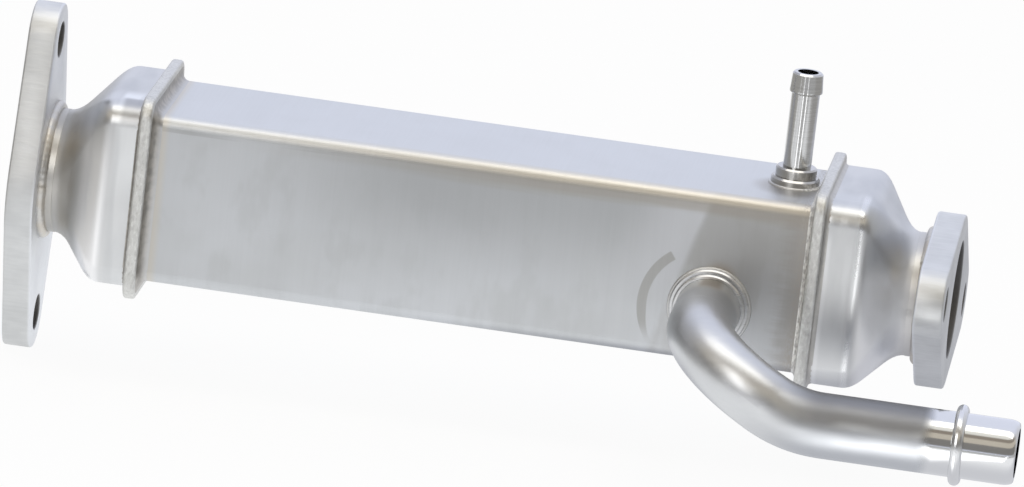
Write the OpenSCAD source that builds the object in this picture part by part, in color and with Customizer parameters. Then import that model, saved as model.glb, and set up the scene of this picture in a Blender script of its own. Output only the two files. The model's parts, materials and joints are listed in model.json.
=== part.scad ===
// Exhaust gas cooler: a square brazed shell round a bundle of gas tubes, with pressed square-to-round
// headers, two-bolt flanges, a bent coolant pipe and a turned bleed nipple.
// X runs along the gas path from the mating face of the inlet flange, -Y is the pipe side, +Z is up.
// The origin is the middle between the inlet flange's bolt holes, in that face.

/* [Gas flanges] */
// Thickness of both flanges
flange_t = 8; // [6:0.5:14]
// Radius of a flange's round middle
flange_mid_r = 24.4; // [23:0.1:32]
// Radius of a flange round each bolt hole
flange_end_r = 10.2; // [9:0.1:16]
// Distance between the two bolt holes of a flange
bolt_spacing = 81; // [70:0.5:110]
// Diameter of the bolt holes in the inlet flange
inlet_hole_d = 9.5; // [6:0.1:12]
// Diameter of the bolt holes in the outlet flange
outlet_hole_d = 9; // [6:0.1:12]
// Diameter of the gas way through flange and neck
gas_bore_d = 32.4; // [24:0.2:36]
// Height of the inlet bore above the middle of its flange
inlet_bore_rise = 2.2; // [0:0.1:3]
// Height of the outlet bore above the middle of its flange
outlet_bore_rise = 0.7; // [0:0.1:3]
// Depth of the socket in the flange that takes the header's neck
socket_depth = 3; // [1:0.5:5]
// Turn of the inlet flange from upright towards the pipe side, in degrees
inlet_turn = 5; // [-90:1:90]
// Turn of the outlet flange from upright towards the pipe side, in degrees
outlet_turn = 77; // [-90:1:90]

/* [Headers] */
// Wall of the pressed headers
header_wall = 1.2; // [0.8:0.1:2]
// How far a header's skirt stands outside the shell
skirt_proud = 2.5; // [1:0.1:4]
// Corner radius of the skirt
skirt_corner_r = 7; // [4:0.5:12]
// Length of the inlet header from flange to tube plate
inlet_header_len = 27.8; // [24:0.2:50]
// Length of the inlet header's square skirt
inlet_skirt_len = 8; // [3:0.5:10]
// Length of the outlet header from tube plate to flange
outlet_header_len = 28.6; // [24:0.2:50]
// Length of the outlet header's square skirt
outlet_skirt_len = 9.5; // [3:0.5:10]
// Length of the round neck outside the flange
neck_len = 3.8; // [2:0.1:8]

/* [Tube plates] */
// Thickness of a tube plate
plate_t = 3.3; // [2:0.1:6]
// How far a tube plate stands outside the shell
plate_proud = 5; // [2.5:0.1:8]
// Corner radius of a tube plate
plate_corner_r = 6; // [3:0.5:12]
// Depth of the step that locates a tube plate inside the shell
plate_step = 2; // [1:0.5:4]

/* [Shell] */
// Width of the shell, along Y
shell_w = 48; // [44:1:80]
// Height of the shell, along Z
shell_h = 48; // [44:1:80]
// Length of the shell between the tube plates
shell_len = 185; // [120:1:260]
// Wall of the shell
shell_wall = 1.5; // [1:0.1:2.5]
// Radius of the shell's long edges
shell_edge_r = 3.4; // [3:0.1:8]
// Height of the shell's axis above the middle of the inlet flange
shell_rise = 3.6; // [0:0.1:6]
// Depth of the outlet bore below the shell's axis
outlet_drop = 2.3; // [0:0.1:6]

/* [Gas tubes] */
// Rows of tubes, across and up
tube_rows = 5; // [3:1:5]
// Outer diameter of a gas tube
tube_od = 6.4; // [4:0.1:7]
// Wall of a gas tube
tube_wall = 0.5; // [0.3:0.1:1]
// Distance between neighbouring tubes
tube_pitch = 8.4; // [7.4:0.1:8.6]
// How far a tube stands out of its plate
tube_proud = 1; // [0.5:0.1:3]

/* [Baffles] */
// Number of baffles that guide the coolant
baffle_count = 2; // [1:1:4]
// Thickness of a baffle
baffle_t = 1; // [0.6:0.1:2]
// Height of the coolant window that a baffle leaves open
baffle_window = 7; // [4:0.5:10]

/* [Coolant pipe] */
// Outer diameter of the coolant pipe
pipe_od = 18; // [12:0.5:22]
// Wall of the coolant pipe
pipe_wall = 1; // [0.8:0.1:2]
// Distance of the pipe's hole from the outlet end of the shell
pipe_setback = 25.9; // [20:0.1:60]
// Depth of the pipe's hole below the shell's axis
pipe_drop = 8.3; // [0:0.1:9]
// Straight length of the pipe out of the shell
pipe_out = 21.5; // [12:0.5:40]
// Radius of the first bend
pipe_bend_r = 24.5; // [20:0.5:50]
// Slope of the pipe between its bends, in degrees
pipe_dive = 28.5; // [10:0.5:60]
// Straight length between the bends
pipe_mid = 1; // [1:0.5:30]
// Radius of the second bend
pipe_sweep_r = 33; // [24:0.5:60]
// How far the pipe reaches past the outlet flange
pipe_overhang = 26; // [20:0.5:60]
// Diameter of the hose bead
bead_d = 22.3; // [19:0.1:28]
// Width of the hose bead
bead_w = 3.3; // [2:0.1:5]
// Distance from the middle of the bead to the end of the pipe
bead_from_end = 16; // [10:0.5:20]
// Length over which the pipe's end is drawn in
pipe_nose = 3; // [1:0.1:6]

/* [Pipe collar] */
// Width of each of the collar's two rings beyond the next one
collar_step = 1.1; // [0.6:0.1:2]
// Height of each ring
collar_ring_h = 1.6; // [1:0.1:3]

/* [Bleed nipple] */
// Distance of the nipple from the outlet end of the shell
nipple_setback = 8.3; // [8:0.1:12]
// Height of the nipple above the shell
nipple_h = 32.2; // [20:0.1:50]
// Diameter of the nipple's stem
stem_d = 7.9; // [6:0.1:10]
// Largest diameter of the hose barb
barb_d = 9.2; // [8:0.1:12]
// Length of the hose barb
barb_len = 5.6; // [3:0.1:8]
// Bore of the nipple
nipple_bore_d = 5.8; // [3:0.1:5.9]
// How far the nipple's collar stands outside its stem
nipple_collar = 1.8; // [1:0.1:3]
// Height of the nipple's collar
nipple_collar_h = 2.8; // [1.5:0.1:5]
// How far the seat ring stands outside the nipple's collar
seat_proud = 1.1; // [0.5:0.1:2]
// Height of the seat ring
seat_h = 2.4; // [1.5:0.1:5]

/* [Hidden] */
$fn = 96;
// Gap left for braze between pieces that slide together
braze_gap = 0.05;
// Gap between a baffle and the shell or the tubes
baffle_gap = 0.25;
// How far the pipe and the nipple's spigot reach past the inside of the shell's wall
pipe_reach = 1;
spigot_reach = 0.5;
// Overlap of cutting tools past a face
cut = 1;
// How far a flange's straight sides lie inside its round ends
side_ease = 0.03;
// How much the pipe's wall thins on each side in a bend, and how far its straights lap over the bends
bend_thin = 0.02;
bend_lap = 0.5;
// How much a header's pressed wall lies inside its neck's wall, on each side of it
press_ease = 0.1;

neck_r = gas_bore_d / 2 + header_wall;
press_wall = header_wall - 2 * press_ease;
press_end_r = neck_r - press_ease;
x_inlet_plate = flange_t + inlet_header_len;
x_shell = x_inlet_plate + plate_t;
x_outlet_plate = x_shell + shell_len;
x_outlet_header = x_outlet_plate + plate_t;
x_outlet_flange = x_outlet_header + outlet_header_len;
x_outlet_face = x_outlet_flange + flange_t;
z_shell = shell_rise;
z_outlet = shell_rise - outlet_drop;
shell_in_w = shell_w - 2 * shell_wall;
shell_in_h = shell_h - 2 * shell_wall;
shell_in_r = shell_edge_r - shell_wall;

pipe_r = pipe_od / 2;
pipe_x = x_outlet_plate - pipe_setback;
pipe_z = z_shell - pipe_drop;
// Where the last straight of the pipe starts, from its two bends
pipe_tail_x = pipe_x + (pipe_bend_r + pipe_mid) * cos(pipe_dive) + pipe_sweep_r * sin(pipe_dive);
pipe_tail_len = x_outlet_face + pipe_overhang - pipe_tail_x;
pipe_lead = shell_wall + pipe_reach;

nipple_x = x_outlet_plate - nipple_setback;
nipple_base_d = stem_d + 2 * nipple_collar;
seat_d = nipple_base_d + 2 * seat_proud;
nipple_spigot = shell_wall + spigot_reach;

tube_count = tube_rows * tube_rows;
tube_len = shell_len + 2 * (plate_t + tube_proud);

steel = [0.72, 0.72, 0.74];
pressed_steel = [0.66, 0.66, 0.68];
plate_steel = [0.60, 0.59, 0.57];
turned_steel = [0.80, 0.80, 0.82];
tube_steel = [0.55, 0.56, 0.58];

function tube_name(i) = str("gas_tube_", i < 10 ? "0" : "", i);
function baffle_name(i) = str("baffle_", i);

// Rectangle with round corners, centred
module rounded(w, h, r) {
    square([w - 2 * r, h], center = true);
    square([w, h - 2 * r], center = true);
    for (side = [-1, 1], end = [-1, 1])
        translate([side * (w / 2 - r), end * (h / 2 - r)]) circle(r = r);
}

// Stands a flat outline up across the X axis, with its own x along Y and its own y along Z
module across_x(x, z, len)
    translate([x, 0, z]) rotate([90, 0, 90]) linear_extrude(len) children();

// Round bar along X
module bar_x(x, z, len, r)
    translate([x, 0, z]) rotate([0, 90, 0]) cylinder(r = r, h = len);

// Places of the tubes across the bundle
function tube_spot(i) = let (half = (tube_rows - 1) / 2)
    [(i % tube_rows - half) * tube_pitch, (floor(i / tube_rows) - half) * tube_pitch];

// Holes for the whole bundle, each with a gap round its tube
module bundle_holes(gap)
    for (i = [0:tube_count - 1])
        translate(tube_spot(i)) circle(d = tube_od + 2 * gap);

// Outline of a two-bolt flange: a round middle, two round ends and the straight sides that touch them
module flange_outline() {
    reach = bolt_spacing / 2;
    lean = acos((flange_mid_r - flange_end_r) / reach);
    mid = (flange_mid_r - side_ease) * [sin(lean), cos(lean)];
    tip = [0, reach] + (flange_end_r - side_ease) * [sin(lean), cos(lean)];
    circle(r = flange_mid_r);
    for (end = [-1, 1])
        translate([0, end * reach]) circle(r = flange_end_r);
    polygon([mid, tip, [-tip[0], tip[1]], [-mid[0], mid[1]], -mid, -tip, [tip[0], -tip[1]], [mid[0], -mid[1]]]);
}

// Flange standing across X and turned about it, with the socket for the neck on its far side
module gas_flange(turn, hole_d, bore_rise) {
    difference() {
        rotate([turn, 0, 0]) difference() {
            across_x(0, 0, flange_t) flange_outline();
            for (end = [-1, 1])
                bar_x(-cut, end * bolt_spacing / 2, flange_t + 2 * cut, hole_d / 2);
        }
        bar_x(-cut, bore_rise, flange_t + 2 * cut, gas_bore_d / 2);
        bar_x(flange_t - socket_depth, bore_rise, socket_depth + cut, neck_r + braze_gap);
    }
}

// Lofted header wall. Its section runs from a rounded rectangle to a circle.
ring_quarter = 12;
ring_points = 4 * ring_quarter;
// Share of the slope that is taken by the bend at each end of it
slope_bend = 0.34;
// Steps along each bend
bend_steps = 5;

// Rise along the slope: a parabola, a straight and a parabola, from 0 to 1
function slope_rise(u) =
    u < slope_bend ? u * u / (2 * slope_bend * (1 - slope_bend))
    : u < 1 - slope_bend ? (u - slope_bend / 2) / (1 - slope_bend)
    : 1 - (1 - u) * (1 - u) / (2 * slope_bend * (1 - slope_bend));
// Steepness of that rise
function slope_rate(u) = min(u, slope_bend, 1 - u) / (slope_bend * (1 - slope_bend));
function mix(a, b, s) = a + (b - a) * s;

// One ring of points: half width, half height and corner radius, at x and with its centre at z
function ring(x, half_w, half_h, r, z) = [
    for (corner = [0:3], j = [0:ring_quarter - 1])
        let (a = 90 * (corner + (j + 0.5) / ring_quarter),
             side = corner == 0 || corner == 3 ? 1 : -1,
             end = corner < 2 ? 1 : -1)
        [x, side * (half_w - r) + r * cos(a), z + end * (half_h - r) + r * sin(a)]];

// Ring of the header at share u of its slope, moved inwards by wall along the slope's normal
function header_ring(u, wall, skirt_len, slope_len, drop) =
    let (s = slope_rise(u),
         half_w = shell_w / 2 + skirt_proud,
         half_h = shell_h / 2 + skirt_proud,
         tilt = atan(slope_rate(u) * (max(half_w, half_h) - press_end_r) / slope_len),
         inset = wall * cos(tilt))
    ring(skirt_len + u * slope_len - wall * sin(tilt),
         mix(half_w, press_end_r, s) - inset,
         mix(half_h, press_end_r, s) - inset,
         mix(skirt_corner_r, press_end_r, s) - inset,
         -drop * s);

// Pressed header from the tube plate at x = 0 to the flange at x = length
module header(length, skirt_len, drop) {
    slope_len = length - skirt_len - neck_len;
    steps = concat(
        [for (i = [0:bend_steps]) slope_bend * i / bend_steps],
        [for (i = [0:bend_steps]) 1 - slope_bend + slope_bend * i / bend_steps]);
    half_w = shell_w / 2 + skirt_proud;
    half_h = shell_h / 2 + skirt_proud;
    lap_x = length - 3 * neck_len / 4;
    lap_r = press_end_r - press_wall;
    rings = concat(
        [ring(0, half_w, half_h, skirt_corner_r, 0)],
        [for (u = steps) header_ring(u, 0, skirt_len, slope_len, drop)],
        [ring(lap_x, press_end_r, press_end_r, press_end_r, -drop)],
        [ring(lap_x, lap_r, lap_r, lap_r, -drop)],
        [for (i = [len(steps) - 1:-1:0]) header_ring(steps[i], press_wall, skirt_len, slope_len, drop)],
        [ring(0, half_w - press_wall, half_h - press_wall, skirt_corner_r - press_wall, 0)]);
    count = len(rings);
    points = [for (r = rings) each r];
    faces = [for (k = [0:count - 1], j = [0:ring_points - 1])
        let (k2 = (k + 1) % count, j2 = (j + 1) % ring_points)
        each [[k * ring_points + j, k2 * ring_points + j, k2 * ring_points + j2],
              [k * ring_points + j, k2 * ring_points + j2, k * ring_points + j2]]];
    polyhedron(points, faces);
    difference() {
        bar_x(length - neck_len, -drop, neck_len + socket_depth, neck_r);
        bar_x(length - neck_len - cut, -drop, neck_len + socket_depth + 2 * cut, neck_r - header_wall);
    }
}

// Tube plate with its locating step on the far side
module tube_plate() {
    difference() {
        union() {
            across_x(0, z_shell, plate_t)
                rounded(shell_w + 2 * plate_proud, shell_h + 2 * plate_proud, plate_corner_r);
            across_x(0, z_shell, plate_t + plate_step)
                rounded(shell_in_w - 2 * braze_gap, shell_in_h - 2 * braze_gap, shell_in_r);
        }
        across_x(-cut, z_shell, plate_t + plate_step + 2 * cut) bundle_holes(braze_gap);
    }
}

// Section of the coolant pipe's wall, thinned on both sides
module pipe_section(thin)
    difference() {
        circle(r = pipe_r - thin);
        circle(r = pipe_r - pipe_wall + thin);
    }

// Straight length of pipe along Z, which laps over the bends at its ends
module pipe_straight(from, to)
    translate([0, 0, from]) linear_extrude(to - from) pipe_section(0);

// Pipe bend that starts at the origin along Z and turns towards X
module pipe_bend(bend_r, angle)
    translate([bend_r, 0, 0]) rotate([-90, 0, 0]) rotate([0, 0, 180])
        rotate_extrude(angle = angle) translate([bend_r, 0]) pipe_section(bend_thin);

// Frame at the end of such a bend
module after_bend(bend_r, angle)
    translate([bend_r * (1 - cos(angle)), 0, bend_r * sin(angle)]) rotate([0, angle, 0]) children();

// Last straight of the pipe along Z, with its hose bead and an end that is drawn in
module pipe_tail() {
    bead_z = pipe_tail_len - bead_from_end;
    bead_r = bead_w / 2;
    bead_mid = bead_d / 2 - bead_r;
    bead_foot = asin((pipe_r - bead_mid) / bead_r);
    nose_in = pipe_wall * 1.2;
    arc_steps = 10;
    nose = [for (i = [0:arc_steps]) let (a = 90 * i / arc_steps)
        [pipe_r - nose_in * (1 - cos(a)), pipe_tail_len - pipe_nose * (1 - sin(a))]];
    bead = [for (i = [0:arc_steps]) let (a = mix(bead_foot, 180 - bead_foot, i / arc_steps))
        [bead_mid + bead_r * sin(a), bead_z - bead_r * cos(a)]];
    rotate_extrude() polygon(concat(
        [[pipe_r - pipe_wall, -bend_lap], [pipe_r, -bend_lap]],
        bead,
        nose,
        [for (i = [arc_steps:-1:0]) nose[i] - [pipe_wall, 0]]));
}

module inlet_flange()
    color(steel) gas_flange(inlet_turn, inlet_hole_d, inlet_bore_rise);

module outlet_flange()
    color(steel) translate([x_outlet_face, 0, z_outlet - outlet_bore_rise]) mirror([1, 0, 0])
        gas_flange(outlet_turn, outlet_hole_d, outlet_bore_rise);

module inlet_header()
    color(pressed_steel) translate([x_inlet_plate, 0, z_shell]) mirror([1, 0, 0])
        header(inlet_header_len, inlet_skirt_len, shell_rise - inlet_bore_rise);

module outlet_header()
    color(pressed_steel) translate([x_outlet_header, 0, z_shell])
        header(outlet_header_len, outlet_skirt_len, outlet_drop);

module inlet_tube_plate()
    color(plate_steel) translate([x_inlet_plate, 0, 0]) tube_plate();

module outlet_tube_plate()
    color(plate_steel) translate([x_outlet_header, 0, 0]) mirror([1, 0, 0]) tube_plate();

module shell()
    color(steel) difference() {
        across_x(x_shell, z_shell, shell_len) rounded(shell_w, shell_h, shell_edge_r);
        across_x(x_shell - cut, z_shell, shell_len + 2 * cut) rounded(shell_in_w, shell_in_h, shell_in_r);
        translate([pipe_x, -shell_w / 2 + shell_wall + cut, pipe_z]) rotate([90, 0, 0])
            cylinder(r = pipe_r + braze_gap, h = shell_wall + 2 * cut);
        translate([nipple_x, 0, z_shell + shell_h / 2 - shell_wall - cut])
            cylinder(d = stem_d + 2 * braze_gap, h = shell_wall + 2 * cut);
    }

// Coolant pipe: straight out of the shell, down round the first bend and along the sweep to its hose end
module coolant_pipe()
    color(turned_steel) translate([pipe_x, -shell_w / 2, pipe_z]) rotate([90, 0, 0])
        rotate([0, 0, -pipe_dive]) {
            pipe_straight(-pipe_lead, pipe_out + bend_lap);
            translate([0, 0, pipe_out]) {
                pipe_bend(pipe_bend_r, 90);
                after_bend(pipe_bend_r, 90) rotate([0, 0, 90]) {
                    pipe_straight(-bend_lap, pipe_mid + bend_lap);
                    translate([0, 0, pipe_mid]) {
                        pipe_bend(pipe_sweep_r, pipe_dive);
                        after_bend(pipe_sweep_r, pipe_dive) pipe_tail();
                    }
                }
            }
        }

// Two stacked rings round the pipe, the wider one against the shell
module pipe_collar()
    color(turned_steel) translate([pipe_x, -shell_w / 2, pipe_z]) rotate([90, 0, 0]) {
        lip = collar_ring_h / 4;
        difference() {
            rotate_extrude() polygon(concat(
                [[0, 0]],
                [for (k = [0:1]) let (r = pipe_r + (2 - k) * collar_step, z = k * collar_ring_h) each
                    [[r - k * lip, z], [r, z + k * lip],
                     [r, z + collar_ring_h - lip], [r - lip, z + collar_ring_h]]],
                [[0, 2 * collar_ring_h]]));
            translate([0, 0, -cut]) cylinder(r = pipe_r + braze_gap, h = 2 * (collar_ring_h + cut));
        }
    }

// Turned nipple: spigot through the shell, collar on the seat ring, stem and hose barb
module bleed_nipple()
    color(turned_steel) translate([nipple_x, 0, z_shell + shell_h / 2]) difference() {
        collar_top = seat_h + nipple_collar_h;
        edge = nipple_collar / 4;
        barb_low = nipple_h - barb_len;
        tip_r = (stem_d + barb_d) / 4;
        rotate_extrude() polygon([
            [0, -nipple_spigot], [stem_d / 2, -nipple_spigot], [stem_d / 2, seat_h],
            [nipple_base_d / 2, seat_h], [nipple_base_d / 2, collar_top - edge],
            [nipple_base_d / 2 - edge, collar_top], [stem_d / 2, collar_top],
            [stem_d / 2, barb_low - edge], [barb_d / 2, barb_low], [barb_d / 2, barb_low + edge],
            [tip_r, nipple_h - edge], [tip_r - edge, nipple_h], [0, nipple_h]]);
        translate([0, 0, -nipple_spigot - cut])
            cylinder(d = nipple_bore_d, h = nipple_spigot + nipple_h + 2 * cut);
    }

// Seat ring between the shell and the nipple's collar
module nipple_seat()
    color(turned_steel) translate([nipple_x, 0, z_shell + shell_h / 2]) difference() {
        edge = seat_proud / 2;
        rotate_extrude() polygon([
            [0, 0], [seat_d / 2, 0], [seat_d / 2, seat_h - edge], [seat_d / 2 - edge, seat_h], [0, seat_h]]);
        translate([0, 0, -cut]) cylinder(d = stem_d + 2 * braze_gap, h = seat_h + 2 * cut);
    }

// Baffle across the shell, with its coolant window at the top or the bottom in turn
module baffle(i)
    color(plate_steel) {
        high = i % 2 == 0 ? 1 : -1;
        x = x_shell + shell_len * i / (baffle_count + 1) - baffle_t / 2;
        across_x(x, z_shell, baffle_t) difference() {
            rounded(shell_in_w - 2 * baffle_gap, shell_in_h - 2 * baffle_gap, shell_in_r);
            translate([0, high * shell_in_h / 2]) square([shell_w, 2 * baffle_window], center = true);
            bundle_holes(baffle_gap);
        }
    }

module gas_tube(i) {
    spot = tube_spot(i - 1);
    x = x_inlet_plate - tube_proud;
    color(tube_steel) translate([0, spot[0], 0]) difference() {
        bar_x(x, z_shell + spot[1], tube_len, tube_od / 2);
        bar_x(x - cut, z_shell + spot[1], tube_len + 2 * cut, tube_od / 2 - tube_wall);
    }
}

inlet_flange();
inlet_header();
inlet_tube_plate();
shell();
outlet_tube_plate();
outlet_header();
outlet_flange();
coolant_pipe();
pipe_collar();
bleed_nipple();
nipple_seat();
for (i = [1:baffle_count]) baffle(i);
for (i = [1:tube_count]) gas_tube(i);
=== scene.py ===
# %% [markdown]
# # A stainless exhaust gas cooler
# The cooler is a square box of steel sheet with a bundle of thin tubes inside. Hot gas goes through the
# tubes from the left flange to the right one, and water goes round them. The CAD model already holds
# every solid, so this lesson loads it as a fixed frame and adds what a CAD model lacks: weld beads,
# softened edges, brushed and turned steel, and heat tints. Everything is in metres, in the frame of the
# CAD model.

# %% Load the frame
import json
import math

import bmesh
import bpy
from mathutils import Matrix, Vector


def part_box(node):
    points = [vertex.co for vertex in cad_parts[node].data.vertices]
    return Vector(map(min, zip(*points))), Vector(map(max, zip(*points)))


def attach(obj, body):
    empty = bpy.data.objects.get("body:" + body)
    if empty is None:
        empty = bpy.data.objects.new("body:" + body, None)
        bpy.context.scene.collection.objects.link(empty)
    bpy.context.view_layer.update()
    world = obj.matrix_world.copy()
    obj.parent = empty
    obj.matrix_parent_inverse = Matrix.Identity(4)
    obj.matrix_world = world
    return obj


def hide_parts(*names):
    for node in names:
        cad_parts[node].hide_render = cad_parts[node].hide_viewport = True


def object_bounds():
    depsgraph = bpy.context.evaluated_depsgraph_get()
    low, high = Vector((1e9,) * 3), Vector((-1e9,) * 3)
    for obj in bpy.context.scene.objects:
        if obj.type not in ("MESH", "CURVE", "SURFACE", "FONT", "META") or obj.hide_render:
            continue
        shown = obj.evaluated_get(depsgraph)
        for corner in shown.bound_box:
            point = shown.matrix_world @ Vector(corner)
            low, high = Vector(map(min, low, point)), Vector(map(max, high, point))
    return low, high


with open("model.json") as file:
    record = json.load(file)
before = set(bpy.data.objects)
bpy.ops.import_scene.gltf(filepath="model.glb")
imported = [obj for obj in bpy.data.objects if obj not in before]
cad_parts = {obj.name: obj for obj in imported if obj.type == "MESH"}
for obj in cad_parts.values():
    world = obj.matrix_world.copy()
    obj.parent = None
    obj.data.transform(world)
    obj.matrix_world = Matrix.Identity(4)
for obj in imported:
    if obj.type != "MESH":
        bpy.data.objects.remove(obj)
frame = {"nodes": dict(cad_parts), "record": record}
cad_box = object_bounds()
nodes = frame["nodes"]
print("CAD nodes:", len(nodes))

# %% [markdown]
# ## The camera
# The photograph was taken with a long lens from the front, a little to the right and above, and the
# camera was rolled so that the cooler slopes down to the right. A camera could be turned by hand until
# the edges line up. Here it is built from three angles and a place, because these came out of a fit to
# the edges of the box.

# %% Camera
AZIMUTH, ELEVATION, ROLL = (math.radians(a) for a in (5.81, 14.45, 6.59))
CAMERA_PLACE = Vector((0.43887, -2.94256, 0.76163))
LENS_MM, SENSOR_MM = 385.67, 36
NEAREST, FARTHEST = 0.1, 30

forward = Vector((
    -math.sin(AZIMUTH) * math.cos(ELEVATION),
    math.cos(AZIMUTH) * math.cos(ELEVATION),
    -math.sin(ELEVATION)))
level = Vector((math.cos(AZIMUTH), math.sin(AZIMUTH), 0))
above = level.cross(forward)
right = math.cos(ROLL) * level + math.sin(ROLL) * above
up = math.cos(ROLL) * above - math.sin(ROLL) * level

camera_data = bpy.data.cameras.new("photo_camera")
camera_data.sensor_width, camera_data.lens = SENSOR_MM, LENS_MM
camera_data.clip_start, camera_data.clip_end = NEAREST, FARTHEST
camera = bpy.data.objects.new("photo_camera", camera_data)
bpy.context.scene.collection.objects.link(camera)
camera_turn = Matrix((right, up, -forward)).transposed().to_4x4()
camera.matrix_world = Matrix.Translation(CAMERA_PLACE) @ camera_turn
bpy.context.scene.camera = camera
bpy.context.scene.view_settings.view_transform = "Standard"
print("camera:", tuple(round(v, 3) for v in CAMERA_PLACE), "lens", LENS_MM)

# %% [markdown]
# ## Shader sums
# A finish is mostly arithmetic on places and noises. Nodes could be added and linked one by one, which
# takes many lines for one small sum. A class that wraps a socket lets Python's own operators add the Math
# nodes, so that a mask reads as a formula.

# %% A socket that does sums
class Wire:
    """One shader socket. Each operator adds a Math node to the socket's tree."""

    def __init__(self, socket):
        self.socket = socket

    def node(self, kind, settings=None, inputs=None, out=0):
        """Adds a node of any kind: its settings first, then the values or wires of its inputs."""
        tree = self.socket.id_data
        made = tree.nodes.new(kind)
        for name, value in (settings or {}).items():
            setattr(made, name, value)
        for name, value in (inputs or {}).items():
            if isinstance(value, Wire):
                tree.links.new(value.socket, made.inputs[name])
            else:
                made.inputs[name].default_value = value
        return Wire(made.outputs[out]) if made.outputs else None

    def math(self, operation, first, second=0.0):
        return self.node("ShaderNodeMath", {"operation": operation}, {0: first, 1: second})

    def __add__(self, other):
        return self.math("ADD", self, other)

    def __sub__(self, other):
        return self.math("SUBTRACT", self, other)

    def __rsub__(self, other):
        return self.math("SUBTRACT", other, self)

    def __mul__(self, other):
        return self.math("MULTIPLY", self, other)

    def __pow__(self, other):
        return self.math("POWER", self, other)

    def __abs__(self):
        return self.math("ABSOLUTE", self)

    __radd__ = __add__
    __rmul__ = __mul__


print("reflected sums:", sorted(name for name in vars(Wire) if name.startswith("__r")))

# %% [markdown]
# A finish is built up like paint: a base colour, then thin coats, each through its own mask. One could
# nest the Mix nodes by hand, but then the order is hard to see. A short list of mask, strength and tint
# keeps it in view.

# %% Masks, coats and noise
def axis(place, name):
    """One coordinate of a vector."""
    return place.node("ShaderNodeSeparateXYZ", None, {"Vector": place}, out=name)


def ease(value, low, high):
    """0 at low, 1 at high, and a smooth step between them. Low may be the larger one."""
    return value.node("ShaderNodeMapRange", {"interpolation_type": "SMOOTHSTEP"},
                      {"Value": value, "From Min": low, "From Max": high})


def mix_colour(mask, first, second):
    """The first colour where the mask is 0 and the second where it is 1."""
    first, second = (c if isinstance(c, Wire) else (*c, 1) for c in (first, second))
    return mask.node("ShaderNodeMix", {"data_type": "RGBA"}, {0: mask, 6: first, 7: second}, out=2)


def layered(colour, coats):
    """Lays coats on a colour, one after the other. A coat is a mask, its strength and its tint."""
    for mask, strength, tint in coats:
        colour = mix_colour(mask * strength, colour, tint)
    return colour


def noise(place, scale, stretch=(1, 1, 1), detail=2.0):
    """Noise from 0 to 1 with so many grains a metre, drawn out along an axis by a small number."""
    stretched = place.node("ShaderNodeMapping", None, {"Vector": place, "Scale": stretch})
    return place.node("ShaderNodeTexNoise", None, {"Vector": stretched, "Scale": scale, "Detail": detail})


print("shader helpers ready")

# %% [markdown]
# ## Floor and light
# The cooler was photographed on white under soft light. A white diffuse plane would need so much light to
# look white that the steel would burn out. So the plane below is matt paint, which keeps the shadow,
# under a glow that only camera rays and mirrored rays see.

# %% Floor
FLOOR_SIZE = 8
MIDDLE_X = (cad_box[0].x + cad_box[1].x) / 2
floor_z = cad_box[0].z

bpy.ops.object.select_all(action="DESELECT")
bpy.ops.mesh.primitive_plane_add(size=FLOOR_SIZE, location=(MIDDLE_X, 0, floor_z))
floor = bpy.context.object
floor.name = "floor"
bpy.ops.object.transform_apply(location=True)
print("floor at z", round(floor_z, 4))

# %% [markdown]
# Metal shows nothing but what it mirrors, and an even white floor would make every lower surface look flat.
# A photographer lays grey cards beside such a piece. Here the cards are soft masks on the floor's
# coordinates, and only the mirrored rays see them, so the floor itself stays white in the picture. Two of
# them are painted shadow, a cool grey under and behind the shell and under the pipe, where the piece shades
# the floor.

# %% Grey cards and painted shadow on the floor
SHADOW_TONE = (0.62, 0.63, 0.68)


def new_finish(name):
    """An empty material and the wire of its Object coordinates."""
    material = bpy.data.materials.new(name)
    material.use_nodes = True
    material.node_tree.nodes.clear()
    return material, Wire(material.node_tree.nodes.new("ShaderNodeTexCoord").outputs["Object"])


floor_paint, spot = new_finish("white_floor")
x, y = axis(spot, "X"), axis(spot, "Y")
# Painted shadow, seen only in the steel: under and behind the shell, and under the pipe.
shade_under_shell = ease(y, -0.055, -0.015) * ease(x, 0.09, 0.19)
shade_under_pipe = ease(y, -0.13, -0.08) * ease(x, 0.19, 0.23)
under_inlet = ease(x, 0.03, 0.0)
far_left, far_right = ease(x, -0.03, -0.16), ease(x, 0.50, 0.60)
before_shell = ease(y, -0.30, -0.37) * ease(x, 0.04, 0.10)
cards = (
    (shade_under_shell, 1, SHADOW_TONE),
    (shade_under_pipe, 0.65, SHADOW_TONE),
    (under_inlet, 0.2, (0.36, 0.35, 0.33)),
    (far_left, 1, (0.44, 0.43, 0.40)),
    (far_right, 1, (0.42, 0.41, 0.39)),
    (before_shell, 1, (0.52, 0.52, 0.51)))
mirrored_tone = mix_colour(ease(y, -1.10, -0.30), (0.50, 0.50, 0.50), (1.14, 1.15, 1.16))
mirrored_tone = layered(mirrored_tone, cards)
print("cards on the floor:", len(cards))

# %% [markdown]
# The bright lines down the nipple and on the inlet header are mirrored lamps. Real strip lamps beside the
# floor would also light the shell, so these are strips of the mirrored tone alone. Each is aimed from the
# piece that shows it, by where it meets that piece in X and how far it leans.

# %% Strips of light on the floor
STRIP_HALF, STRIP_BLUR, STRIP_FADE = 0.016, 0.008, 0.04
INLET_STRIP_X = 0.044


def middle_of(node):
    """The middle of a CAD node's box."""
    lowest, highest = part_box(node)
    return (lowest + highest) / 2


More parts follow.
